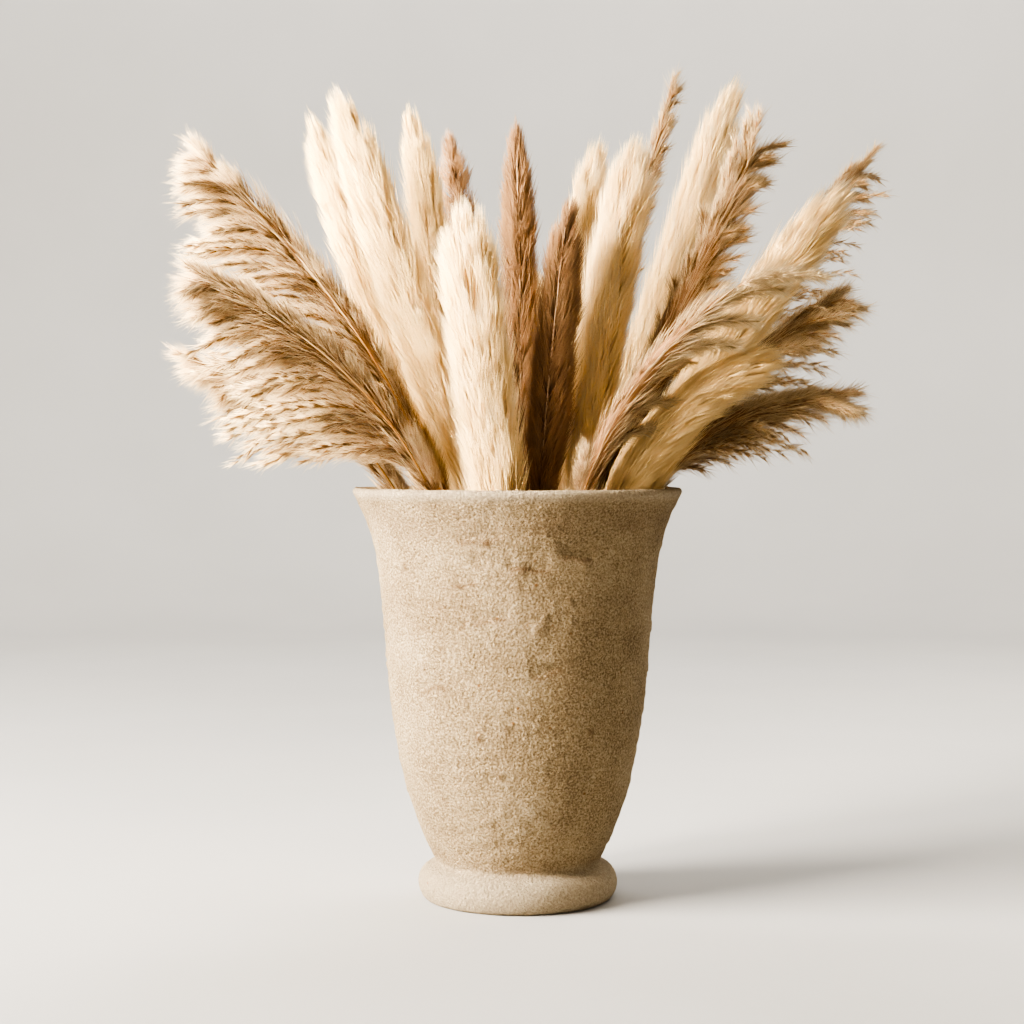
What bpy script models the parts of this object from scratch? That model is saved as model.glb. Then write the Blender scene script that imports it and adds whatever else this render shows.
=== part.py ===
"""Dried pampas plumes, reed plumes and foxtails standing in a footed stoneware vase.

Frame: origin at the centre of the vase's foot, +Z up, the front of the bunch towards -Y.
Run with: blender --background --python part.py
"""

import math
from collections import namedtuple

import bpy
import numpy as np
from mathutils import Vector

MM = 0.001
GAP = 0.3 * MM  # clearance between two pieces that touch
MERGE_DISTANCE = 0.01 * MM  # points of the turned vase closer than this become one

# Vase: outer profile as (height, radius), from the waist above the foot ring to the lip.
VASE_HEIGHT = 220 * MM
WALL = 5.5 * MM
LIP_RADIUS = 2.2 * MM
FLOOR_HEIGHT = 32 * MM
BODY_PROFILE = [(20, 44.0), (27, 47.5), (40, 53.0), (65, 61.0), (103, 67.8), (142, 71.2),
                (181, 75.2), (200, 80.0), (212, 85.2)]
BODY_STEPS = 3  # profile points between two neighbouring points of BODY_PROFILE
LIP_TOP_RADIUS = 88.0 * MM
FOOT_RING_HEIGHT = 20 * MM
FOOT_RING_RADIUS = 53.5 * MM
FOOT_REST_RADIUS = 48.5 * MM
FOOT_RING_MIDDLE = 0.45 * FOOT_RING_HEIGHT  # where the foot ring is widest
FOOT_RING_STEP = 1.5 * MM  # the waist's groove above the foot ring
VASE_SEGMENTS = 48

# Rounded parts of the vase's section: angle at the start and at the end, and points between.
LIP_ARC = (180, -20, 6)
FLOOR_CORNER_ARC = (-90, -20, 4)
FOOT_UPPER_ARC = (75, 0, 6)
FOOT_LOWER_ARC = (-18, -90, 5)

# Finishes: colour and roughness.
STONEWARE = ((0.62, 0.49, 0.34), 0.85)
DRY_STEM = ((0.58, 0.41, 0.22), 0.7)

# Stems are dry culms, thinner where the plume begins.
STEM_RADIUS = 1.5 * MM
STEM_TOP = 0.7  # radius at the plume, as a share of STEM_RADIUS
STEM_POINTS = 9
STEM_CLEARANCE = 1.0  # millimetres from the vase's inner floor to a stem's cut end
LINE_SAMPLES = 200  # points on each half of a flower's centre line, before it is divided
PLUME_POINTS = 13
TUBE_SIDES_RESOLUTION = 2  # 8 sides

# Kinds of dried flower: plume outline and colour.
# peak: where along the plume it is widest; blunt: 2 is an ellipse, more is fuller.
Kind = namedtuple("Kind", "peak blunt colour roughness")
KINDS = {
    "pampas": Kind(0.45, 2.6, (0.86, 0.73, 0.53), 0.9),
    "foxtail": Kind(0.42, 2.1, (0.40, 0.25, 0.15), 0.9),
    "reed": Kind(0.50, 1.9, (0.53, 0.35, 0.20), 0.9),
}

# One row per flower, in millimetres: where its stem stands on the vase floor, where it passes
# the height of the lip, where its tip is, how far the stem's line carries on before it bends
# to the tip (share of the distance), and the plume's length and largest radius.
Flower = namedtuple("Flower", "name kind foot mouth tip reach length radius")
FLOWERS = [
    Flower("reed_left_high", "reed", (22, -20), (-42, -30), (-174, -44, 400), 0.45, 215, 16),
    Flower("reed_left_front", "reed", (30, -28), (-46, -52), (-166, -100, 330), 0.45, 165, 15),
    Flower("reed_left_low", "reed", (30, -8), (-66, -12), (-168, -40, 285), 0.45, 135, 13),
    Flower("pampas_left_outer", "pampas", (10, 20), (-48, 16), (-114, 26, 426), 0.5, 215, 11),
    Flower("pampas_left", "pampas", (34, -6), (-26, -10), (-97, -4, 433), 0.5, 225, 14),
    Flower("pampas_back_left", "pampas", (-8, 28), (-30, 34), (-60, 56, 434), 0.5, 200, 11),
    Flower("foxtail_back_left", "foxtail", (-6, 36), (-18, 54), (-40, 92, 425), 0.5, 190, 9),
    Flower("pampas_front", "pampas", (12, -40), (-11, -58), (-28, -66, 368), 0.5, 190, 15),
    Flower("foxtail_middle", "foxtail", (2, 12), (2, 6), (-1, 8, 416), 0.5, 200, 11),
    Flower("foxtail_front", "foxtail", (-2, -30), (13, -38), (27, -52, 370), 0.5, 170, 12),
    Flower("pampas_back", "pampas", (2, 30), (20, 34), (46, 56, 418), 0.5, 195, 12),
    Flower("pampas_right", "pampas", (8, -13), (32, -18), (64, -24, 406), 0.5, 200, 14),
    Flower("reed_back_right", "reed", (8, 38), (36, 44), (90, 76, 448), 0.5, 225, 10),
    Flower("pampas_right_tall", "pampas", (-10, 24), (48, 24), (122, 40, 448), 0.5, 235, 13),
    Flower("reed_right", "reed", (-18, -1), (50, -4), (124, -24, 396), 0.5, 200, 14),
    Flower("reed_right_back", "reed", (-30, 22), (64, 34), (206, 66, 408), 0.5, 215, 15),
    Flower("pampas_right_outer", "pampas", (-34, -12), (64, -26), (174, -44, 380), 0.5, 200, 13),
    Flower("reed_right_middle", "reed", (-34, 16), (70, 14), (190, 26, 330), 0.5, 160, 13),
    Flower("reed_right_low", "reed", (-38, 8), (72, -6), (182, -8, 268), 0.45, 130, 12),
    Flower("pampas_right_low", "pampas", (-28, -19), (54, -44), (134, -85, 290), 0.5, 130, 11),
    Flower("reed_front_right", "reed", (-22, -30), (34, -60), (108, -106, 320), 0.5, 145, 12),
    Flower("pampas_behind", "pampas", (-14, 38), (4, 68), (10, 150, 350), 0.5, 165, 13),
    Flower("reed_behind_left", "reed", (-26, 28), (-46, 50), (-108, 118, 335), 0.5, 160, 13),
    Flower("foxtail_behind_right", "foxtail", (26, 28), (44, 56), (98, 135, 325), 0.5, 155, 11),
]


def clear_scene():
    """Start from an empty file."""
    for existing in list(bpy.data.objects):
        bpy.data.objects.remove(existing, do_unlink=True)


def material(name, colour, roughness):
    """A Principled material of one colour."""
    result = bpy.data.materials.new(name)
    result.use_nodes = True
    shader = result.node_tree.nodes["Principled BSDF"]
    shader.inputs["Base Color"].default_value = (*colour, 1.0)
    shader.inputs["Roughness"].default_value = roughness
    result.diffuse_color = (*colour, 1.0)
    return result


def smooth_curve(keys, steps):
    """Catmull-Rom curve through the keys, with `steps` stretches between two neighbours."""
    keys = np.array(keys, dtype=float)
    padded = np.vstack([2 * keys[0] - keys[1], keys, 2 * keys[-1] - keys[-2]])
    points = [keys[0]]
    for before, start, end, after in zip(padded, padded[1:], padded[2:], padded[3:]):
        for t in np.arange(1, steps + 1) / steps:
            points.append(0.5 * (2 * start + (end - before) * t
                                 + (2 * before - 5 * start + 4 * end - after) * t ** 2
                                 + (3 * start - before - 3 * end + after) * t ** 3))
    return np.array(points)


def arc(centre, radii, start, end, count):
    """Points on an ellipse in the (radius, height) plane, from angle start to end in degrees."""
    angles = np.radians(np.linspace(start, end, count))
    return [(centre[0] + radii[0] * math.cos(a), centre[1] + radii[1] * math.sin(a))
            for a in angles]


def vase_profile():
    """Half section of the vase as (radius, height), from the inner floor's centre up the
    inside, over the lip, down the outside and along the foot to the axis."""
    body = smooth_curve([(h * MM, r * MM) for h, r in BODY_PROFILE], BODY_STEPS)
    outside = [(r, h) for h, r in body]
    lip_height = VASE_HEIGHT - LIP_RADIUS
    lip = arc((LIP_TOP_RADIUS - LIP_RADIUS, lip_height), (LIP_RADIUS, LIP_RADIUS), *LIP_ARC)
    inside = [(r - WALL, h) for r, h in outside if h > FLOOR_HEIGHT + WALL]
    floor_edge = inside[0][0]
    corner = arc((floor_edge - WALL, FLOOR_HEIGHT + WALL), (WALL, WALL), *FLOOR_CORNER_ARC)
    waist_radius = BODY_PROFILE[0][1] * MM
    ring_above = arc((waist_radius, FOOT_RING_MIDDLE),
                     (FOOT_RING_RADIUS - waist_radius,
                      FOOT_RING_HEIGHT - FOOT_RING_STEP - FOOT_RING_MIDDLE), *FOOT_UPPER_ARC)
    ring_below = arc((FOOT_REST_RADIUS, FOOT_RING_MIDDLE),
                     (FOOT_RING_RADIUS - FOOT_REST_RADIUS, FOOT_RING_MIDDLE), *FOOT_LOWER_ARC)
    down = lip + outside[::-1] + ring_above + ring_below
    return [(0.0, FLOOR_HEIGHT)] + corner + inside + down + [(0.0, 0.0)]


def build_vase(collection, finish):
    """The vase: its half section turned about the vertical axis."""
    profile = vase_profile()
    mesh = bpy.data.meshes.new("vase")
    edges = [(i, i + 1) for i in range(len(profile) - 1)]
    mesh.from_pydata([(r, 0.0, h) for r, h in profile], edges, [])
    vase = bpy.data.objects.new("vase", mesh)
    collection.objects.link(vase)
    screw = vase.modifiers.new("turned", "SCREW")
    screw.steps = VASE_SEGMENTS
    screw.render_steps = VASE_SEGMENTS
    screw.use_merge_vertices = True
    screw.merge_threshold = MERGE_DISTANCE
    screw.use_smooth_shade = True
    mesh.materials.append(finish)
    return vase


def flower_line(flower):
    """The flower's centre line from the vase floor to its tip, as evenly spaced points.

    Straight from the foot to the mouth, then one quadratic Bezier curve that leaves in the
    same direction and ends at the tip."""
    foot = np.array([*flower.foot, FLOOR_HEIGHT / MM + STEM_CLEARANCE])
    mouth = np.array([*flower.mouth, VASE_HEIGHT / MM])
    tip = np.array(flower.tip, dtype=float)
    heading = (mouth - foot) / np.linalg.norm(mouth - foot)
    bend = mouth + heading * flower.reach * np.linalg.norm(tip - mouth)
    t = np.linspace(0, 1, LINE_SAMPLES)[:, None]
    below = foot + (mouth - foot) * t
    above = (1 - t) ** 2 * mouth + 2 * t * (1 - t) * bend + t ** 2 * tip
    line = np.vstack([below, above[1:]]) * MM
    travelled = np.concatenate([[0], np.cumsum(np.linalg.norm(np.diff(line, axis=0), axis=1))])
    even = np.linspace(0, travelled[-1], 2 * LINE_SAMPLES)
    return even, np.column_stack([np.interp(even, travelled, line[:, i]) for i in range(3)])


def stretch(distances, line, start, end, count):
    """Points of the line from distance start to distance end."""
    at = np.linspace(start, end, count)
    return np.column_stack([np.interp(at, distances, line[:, i]) for i in range(3)])


def plume_radius(kind, share):
    """Plume outline: a superellipse whose widest place is at kind.peak, as shares of the
    largest radius; share is 0 at the plume's base and 1 at its tip."""
    power = math.log(0.5) / math.log(kind.peak)
    across = np.abs(2 * share ** power - 1)
    return (1 - across ** kind.blunt) ** (1 / kind.blunt)


def tube(name, points, radius, taper, collection, finish):
    """A tube with filled ends along the points; its object stands at the first point."""
    curve = bpy.data.curves.new(name, "CURVE")
    curve.dimensions = "3D"
    curve.bevel_depth = radius
    curve.bevel_resolution = TUBE_SIDES_RESOLUTION
    curve.use_fill_caps = True
    spline = curve.splines.new("POLY")
    spline.points.add(len(points) - 1)
    spline.use_smooth = True
    for target, point, share in zip(spline.points, points - points[0], taper):
        target.co = (*point, 1.0)
        target.radius = share
    curve.materials.append(finish)
    result = bpy.data.objects.new(name, curve)
    result.location = Vector(points[0])
    collection.objects.link(result)
    return result


def build_flower(flower, collection, stem_finish, plume_finish, vase):
    """A stem standing in the vase, and the plume on top of it."""
    kind = KINDS[flower.kind]
    distances, line = flower_line(flower)
    base = distances[-1] - flower.length * MM
    stem_points = stretch(distances, line, 0, base - GAP, STEM_POINTS)
    stem_taper = np.linspace(1.0, STEM_TOP, STEM_POINTS)
    stem = tube(flower.name + "_stem", stem_points, STEM_RADIUS, stem_taper, collection,
                stem_finish)
    stem.parent = vase

    plume_points = stretch(distances, line, base, distances[-1], PLUME_POINTS)
    least = STEM_RADIUS / (flower.radius * MM)
    outline = plume_radius(kind, np.linspace(0, 1, PLUME_POINTS))
    plume = tube(flower.name + "_plume", plume_points, flower.radius * MM,
                 np.maximum(outline, least), collection, plume_finish)
    plume.parent = stem
    plume.location = Vector(plume_points[0] - stem_points[0])


def build():
    """The whole object, in its own collection."""
    clear_scene()
    collection = bpy.data.collections.new("dried_flowers_in_vase")
    bpy.context.scene.collection.children.link(collection)
    vase = build_vase(collection, material("stoneware", *STONEWARE))
    stem_finish = material("dry_stem", *DRY_STEM)
    plume_finish = {name: material(name + "_plume", kind.colour, kind.roughness)
                    for name, kind in KINDS.items()}
    for flower in FLOWERS:
        build_flower(flower, collection, stem_finish, plume_finish[flower.kind], vase)


build()
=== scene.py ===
"""Dried pampas plumes, foxtails and reeds standing in a footed stoneware vase.

Laid out as an add-on: each operator makes one piece or one group of like pieces. Metres, +Z up,
the front of the bunch towards -Y.
"""

import math
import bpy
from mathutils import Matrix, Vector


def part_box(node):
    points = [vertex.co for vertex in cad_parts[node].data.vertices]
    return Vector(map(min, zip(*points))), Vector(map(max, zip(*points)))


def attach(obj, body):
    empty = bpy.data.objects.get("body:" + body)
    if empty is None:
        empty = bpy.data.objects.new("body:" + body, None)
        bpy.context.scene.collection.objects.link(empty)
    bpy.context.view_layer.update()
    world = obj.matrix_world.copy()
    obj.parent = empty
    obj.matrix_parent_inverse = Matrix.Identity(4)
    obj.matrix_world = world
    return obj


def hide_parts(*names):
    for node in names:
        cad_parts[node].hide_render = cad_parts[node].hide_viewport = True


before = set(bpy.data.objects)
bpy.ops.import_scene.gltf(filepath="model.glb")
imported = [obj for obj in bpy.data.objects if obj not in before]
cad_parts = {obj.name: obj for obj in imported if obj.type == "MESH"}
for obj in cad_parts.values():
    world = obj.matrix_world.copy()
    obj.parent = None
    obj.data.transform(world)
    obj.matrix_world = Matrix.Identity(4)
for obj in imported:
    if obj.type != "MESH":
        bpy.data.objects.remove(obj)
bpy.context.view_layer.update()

import zlib

import bpy
import numpy as np
from bpy.props import FloatProperty, FloatVectorProperty, PointerProperty
from bpy.types import Operator, Panel, PropertyGroup
from mathutils import Vector

bl_info = {
    "name": "Dried Bouquet in a Stoneware Vase",
    "version": (1, 0, 0),
    "blender": (4, 5, 0),
    "location": "View3D > Sidebar > Dried Bouquet",
    "description": "Makes a footed stoneware vase with pampas, foxtails and reeds",
    "category": "Add Mesh",
}

MM = 0.001
TAU = 2 * math.pi
BLACK, WHITE = (0, 0, 0, 1), (1, 1, 1, 1)


# Colour and number helpers

def linear(code):
    """An sRGB hex colour as linear red, green, blue and alpha."""
    parts = [int(code[i:i + 2], 16) / 255 for i in (1, 3, 5)]
    return tuple(c / 12.92 if c <= 0.04045 else ((c + 0.055) / 1.055) ** 2.4
                 for c in parts) + (1.0,)


def generator(name):
    """The piece's own source of random numbers, the same on every run."""
    return np.random.default_rng(zlib.crc32(name.encode()))


def unit(vectors):
    """Vectors divided by their lengths."""
    return vectors / np.maximum(np.linalg.norm(vectors, axis=-1, keepdims=True), 1e-12)


def smooth(x):
    """Smooth step: 3x^2 - 2x^3 between 0 and 1."""
    x = np.clip(x, 0, 1)
    return x * x * (3 - 2 * x)


def lumps(points, size, seed):
    """Soft noise between -1 and 1 at the points: random values on a cubic lattice with cells of
    `size` metres, blended between the cell's eight corners with smooth steps."""
    lattice = np.random.default_rng(seed).uniform(-1, 1, (32, 32, 32))
    place = points / size + 100.0
    cell = np.floor(place).astype(int)
    part = smooth(place - cell)
    total = np.zeros(points.shape[:-1])
    for corner in np.ndindex(2, 2, 2):
        weight = np.prod(np.where(np.array(corner) == 1, part, 1 - part), axis=-1)
        index = (cell + corner) % 32
        total += weight * lattice[index[..., 0], index[..., 1], index[..., 2]]
    return total


# Settings

def tint(name, description, code):
    """A colour setting, given as sRGB hex."""
    return FloatVectorProperty(name=name, description=description, subtype="COLOR", size=4,
                               default=linear(code))


def span(name, description, millimetres):
    """A length setting, given in millimetres."""
    return FloatProperty(name=name, description=description, unit="LENGTH",
                         default=millimetres * MM)


class VaseSettings(PropertyGroup):
    """Sizes and colours of the vase."""
    clay: tint("Clay", "Colour of the fired clay body", "#978261")
    clay_pale: tint("Pale clay", "Colour of the rubbed high spots", "#b8a585")
    clay_deep: tint("Deep clay", "Colour in pits and cracks", "#6f5c42")
    grit: span("Grit", "Width of the sand grains in the clay", 1.15)
    ridge: span("Throwing ridge", "Height of the throwing ridges", 0.22)


class PlumeSettings(PropertyGroup):
    """Sizes and colours of the plumes."""
    fibre: span("Fibre", "Radius of one silky hair at its root", 0.22)
    pampas: tint("Pampas", "Colour of the pampas hair tips", "#ffdd9c")
    pampas_root: tint("Pampas root", "Colour of the pampas hair at the root", "#d6b68b")
    foxtail: tint("Foxtail", "Colour of the foxtail hair tips", "#b38b60")
    foxtail_root: tint("Foxtail root", "Colour of the foxtail hair at the root", "#624731")
    foxtail_stalk: tint("Foxtail stalk", "Colour of the foxtail's bare stalk", "#d8b894")
    reed: tint("Reed", "Colour of the reed hair tips", "#f2d8a6")
    reed_root: tint("Reed root", "Colour of the reed hair at the root", "#8a643f")
    husk: tint("Husk", "Colour of the reed spikelets", "#b07f45")
    stem: tint("Stem", "Colour of the dry stems", "#c79a5b")


class StageSettings(PropertyGroup):
    """Floor, light and camera."""
    floor: tint("Floor", "Colour of the floor and backdrop", "#aeaba6")
    key: FloatProperty(name="Key light", description="Power of the large soft light",
                       default=80.0, unit="POWER")
    lens: FloatProperty(name="Lens", description="Focal length", default=70.63, unit="CAMERA")


# Mesh building: every part is (points, triangles, uv of the triangle corners)

TONES = 64  # columns of the colour map, one tone each
HUSK_START = 0.8  # columns from here on are husks, twigs and stems
HUSK_FLATNESS = 0.7  # a spikelet's thickness as a share of its width
UV_NAME = "OFBake"


def column(tone, side):
    """Place across the colour map: the tone's column, with the fibre's sides spread inside it."""
    return (np.floor(np.clip(tone, 0, 0.999) * TONES)[:, None] + 0.1 + 0.8 * side) / TONES


def cells(rings, sides, first=0):
    """Two corners of every cell between neighbouring rings: the cell's own point and the next one
    round the ring. The other two are the same points one ring on, `sides` further."""
    ring, side = np.meshgrid(np.arange(rings - 1), np.arange(sides), indexing="ij")
    return first + ring * sides + side, first + ring * sides + (side + 1) % sides


def fibres(paths, radii, tone, squash=1.0):
    """Closed tapered fibres, all in one part.

    A ring point is the path's point plus radius times (cos a of u + sin a of v), with u and v
    square to the fibre; three points make a ring, a triangle closes the root and all the last
    ring's points meet in the tip. `paths` is fibres x points x 3, with the tip last."""
    count, rings = paths.shape[0], paths.shape[1] - 1
    chord = unit(paths[:, -1] - paths[:, 0])
    helper = np.where(np.abs(chord[:, 2:]) > 0.8, [[1.0, 0.0, 0.0]], [[0.0, 0.0, 1.0]])
    u = unit(np.cross(chord, helper))
    v = np.cross(chord, u)
    turn = np.arange(3) * TAU / 3
    ring = (u[:, None, None] * np.cos(turn)[:, None]
            + squash * v[:, None, None] * np.sin(turn)[:, None])
    points = np.concatenate([
        (paths[:, :-1, None] + radii[:, :, None, None] * ring).reshape(count, -1, 3),
        paths[:, -1:]], axis=1)
    tip = 3 * rings
    template, corners = [(0, 2, 1)], [[(0, 0), (2 / 3, 0), (1 / 3, 0)]]
    for r in range(rings - 1):
        low, high = r / rings, (r + 1) / rings
        for j in range(3):
            a, b, c, d = 3 * r + j, 3 * r + (j + 1) % 3, 3 * r + 3 + (j + 1) % 3, 3 * r + 3 + j
            template += [(a, b, c), (a, c, d)]
            s, e = j / 3, (j + 1) / 3
            corners += [[(s, low), (e, low), (e, high)], [(s, low), (e, high), (s, high)]]
    for j in range(3):
        template.append((tip - 3 + j, tip - 3 + (j + 1) % 3, tip))
        corners.append([(j / 3, (rings - 1) / rings), ((j + 1) / 3, (rings - 1) / rings),
                        (j / 3 + 1 / 6, 1)])
    template, corners = np.array(template), np.array(corners, dtype=float)
    triangles = template + (np.arange(count) * (tip + 1))[:, None, None]
    uv = np.empty((count, corners.shape[0] * 3, 2))
    uv[:, :, 0] = column(tone, corners[..., 0].reshape(1, -1))
    uv[:, :, 1] = corners[..., 1].reshape(1, -1)
    return points.reshape(-1, 3), triangles.reshape(-1, 3), uv.reshape(-1, 2)


def hose(path, radii, tone, sides=10):
    """A closed tube: circles square to the path, whose two ends close on their own centres."""
    rings = len(path)
    ahead = unit(np.gradient(path, axis=0))
    side = unit(np.cross(ahead, [0.0, 1.0, 0.0]))
    front = np.cross(ahead, side)
    turn = np.arange(sides) * TAU / sides
    body = (path[:, None] + radii[:, None, None] * (side[:, None] * np.cos(turn)[:, None]
                                                    + front[:, None] * np.sin(turn)[:, None]))
    points = np.concatenate([body.reshape(-1, 3), path[:1], path[-1:]])
    a, b = cells(rings, sides)
    walls = np.stack([a, b, b + sides, a, b + sides, a + sides], -1).reshape(-1, 3)
    k, after = np.arange(sides), (np.arange(sides) + 1) % sides
    last = (rings - 1) * sides
    foot = np.stack([after, k, np.full(sides, rings * sides)], -1)
    head = np.stack([last + k, last + after, np.full(sides, rings * sides + 1)], -1)
    triangles = np.concatenate([walls, foot, head])
    uv = np.empty((len(triangles) * 3, 2))
    uv[:, 0] = np.tile(column(np.array([tone]), np.array([[0.0, 1.0, 0.5]]))[0], len(triangles))
    uv[:, 1] = np.tile([0.0, 0.05, 0.1], len(triangles))
    return points, triangles, uv


def piece(name, parts, material, replaced):
    """One finished object from its parts, riding on the body and standing for a CAD node."""
    offsets = np.cumsum([0] + [len(p[0]) for p in parts])
    points = np.concatenate([p[0] for p in parts]).astype(np.float32)
    triangles = np.concatenate([p[1] + o for p, o in zip(parts, offsets)]).astype(np.int32)
    mesh = bpy.data.meshes.new(name)
    mesh.vertices.add(len(points))
    mesh.vertices.foreach_set("co", points.ravel())
    mesh.loops.add(triangles.size)
    mesh.loops.foreach_set("vertex_index", triangles.ravel())
    mesh.polygons.add(len(triangles))
    mesh.polygons.foreach_set("loop_start", np.arange(0, triangles.size, 3, dtype=np.int32))
    mesh.polygons.foreach_set("use_smooth", np.ones(len(triangles), dtype=bool))
    if parts[0][2] is not None:
        layer = mesh.uv_layers.new(name=UV_NAME)
        layer.data.foreach_set("uv", np.concatenate([p[2] for p in parts])
                               .astype(np.float32).ravel())
    mesh.update(calc_edges=True)
    mesh.materials.append(material)
    result = bpy.data.objects.new(name, mesh)
    bpy.context.scene.collection.objects.link(result)
    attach(result, "root")
    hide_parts(replaced)
    return result


# Materials

def feed(tree, node, inputs):
    """Gives each socket of the node a value, or the output that feeds it; a node stands for its
    first output."""
    for socket, value in inputs.items():
        if isinstance(value, bpy.types.Node):
            value = value.outputs[0]
        if isinstance(value, bpy.types.NodeSocket):
            tree.links.new(value, node.inputs[socket])
        else:
            node.inputs[socket].default_value = value


def add_node(tree, kind, inputs=None, stops=None, **settings):
    """Adds one shader node. `settings` are its properties, `inputs` are for feed, and `stops` are
    the colour stops of a ramp as (place, colour)."""
    node = tree.nodes.new("ShaderNode" + kind)
    for key, value in settings.items():
        setattr(node, key, value)
    feed(tree, node, inputs or {})
    if stops:
        elements = node.color_ramp.elements
        while len(elements) < len(stops):
            elements.new(0.5)
        for element, (place, colour) in zip(elements, stops):
            element.position, element.color = place, colour
    return node


def new_material(name):
    """An empty node material with its Principled shader: returns both and the node tree."""
    material = bpy.data.materials.new(name)
    material.use_nodes = True
    tree = material.node_tree
    return material, tree, tree.nodes["Principled BSDF"]


def mixed(a, b, share):
    """Colour between a and b."""
    return tuple((1 - share) * x + share * y for x, y in zip(a, b))


def dried_hair(name, root, tip, husk, along):
    """Dried plume hair: silky cellulose fibres, matt with a soft edge glow (sheen). Each fibre is
    tan at the root and bleached at the tip, and each has its own tone; the darker root is partly
    the hair's own tan and partly painted shade deep in the plume. Husks and twigs are golden
    brown.
    `along` is how much of the colour change runs along the fibre."""
    material, tree, shader = new_material(name)
    place = add_node(tree, "UVMap", uv_map=UV_NAME)
    split = add_node(tree, "SeparateXYZ", {0: place})
    across, up = split.outputs[0], split.outputs[1]
    tone = add_node(tree, "Math", {0: across, 1: (1 - along) / HUSK_START}, operation="MULTIPLY")
    factor = add_node(tree, "Math", {0: up, 1: along, 2: tone}, operation="MULTIPLY_ADD")
    # darkest at the root and in the low tones: partly the hair's own colour, partly painted shade
    # deep in the plume
    hair = add_node(tree, "ValToRGB", {0: factor}, stops=[
        (0.0, mixed(root, BLACK, 0.3)), (0.2, root), (0.48, mixed(root, tip, 0.6)), (0.72, tip),
        (1.0, mixed(tip, WHITE, 0.4))])
    shell = add_node(tree, "ValToRGB", {0: up}, stops=[
        (0.0, mixed(husk, BLACK, 0.45)), (0.5, husk), (1.0, mixed(husk, tip, 0.6))])
    is_husk = add_node(tree, "Math", {0: across, 1: HUSK_START}, operation="GREATER_THAN")
    colour = add_node(tree, "Mix", {0: is_husk, 6: hair, 7: shell}, data_type="RGBA")
    feed(tree, shader, {"Base Color": colour.outputs[2], "Roughness": 0.75,
                        "Specular IOR Level": 0.25, "Sheen Weight": 0.12,
                        "Sheen Roughness": 0.5, "Sheen Tint": tip})
    return material


def dry_culm(settings):
    """Dry grass culm: a smooth straw skin with long fibre streaks, faintly glossy."""
    material, tree, shader = new_material("Dry culm, straw skin")
    place = add_node(tree, "TexCoord").outputs["Object"]
    # streaks about 0.4 mm wide and 15 mm long
    stretched = add_node(tree, "Mapping", {0: place, 3: (2500, 2500, 65)})
    streak = add_node(tree, "TexNoise", {0: stretched, "Scale": 1.0, "Detail": 3.0})
    blotch = add_node(tree, "TexNoise", {0: place, "Scale": 60.0})
    both = add_node(tree, "Math", {0: streak, 1: blotch}, operation="ADD")
    half = add_node(tree, "Math", {0: both, 1: 0.5}, operation="MULTIPLY")
    base = tuple(settings.stem)
    colour = add_node(tree, "ValToRGB", {0: half}, stops=[
        (0.3, mixed(base, BLACK, 0.6)), (0.5, base), (0.7, mixed(base, WHITE, 0.3))])
    bump = add_node(tree, "Bump", {"Height": streak, "Strength": 0.4, "Distance": 0.1 * MM})
    feed(tree, shader, {"Base Color": colour, "Normal": bump, "Roughness": 0.55})
    return material


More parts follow.
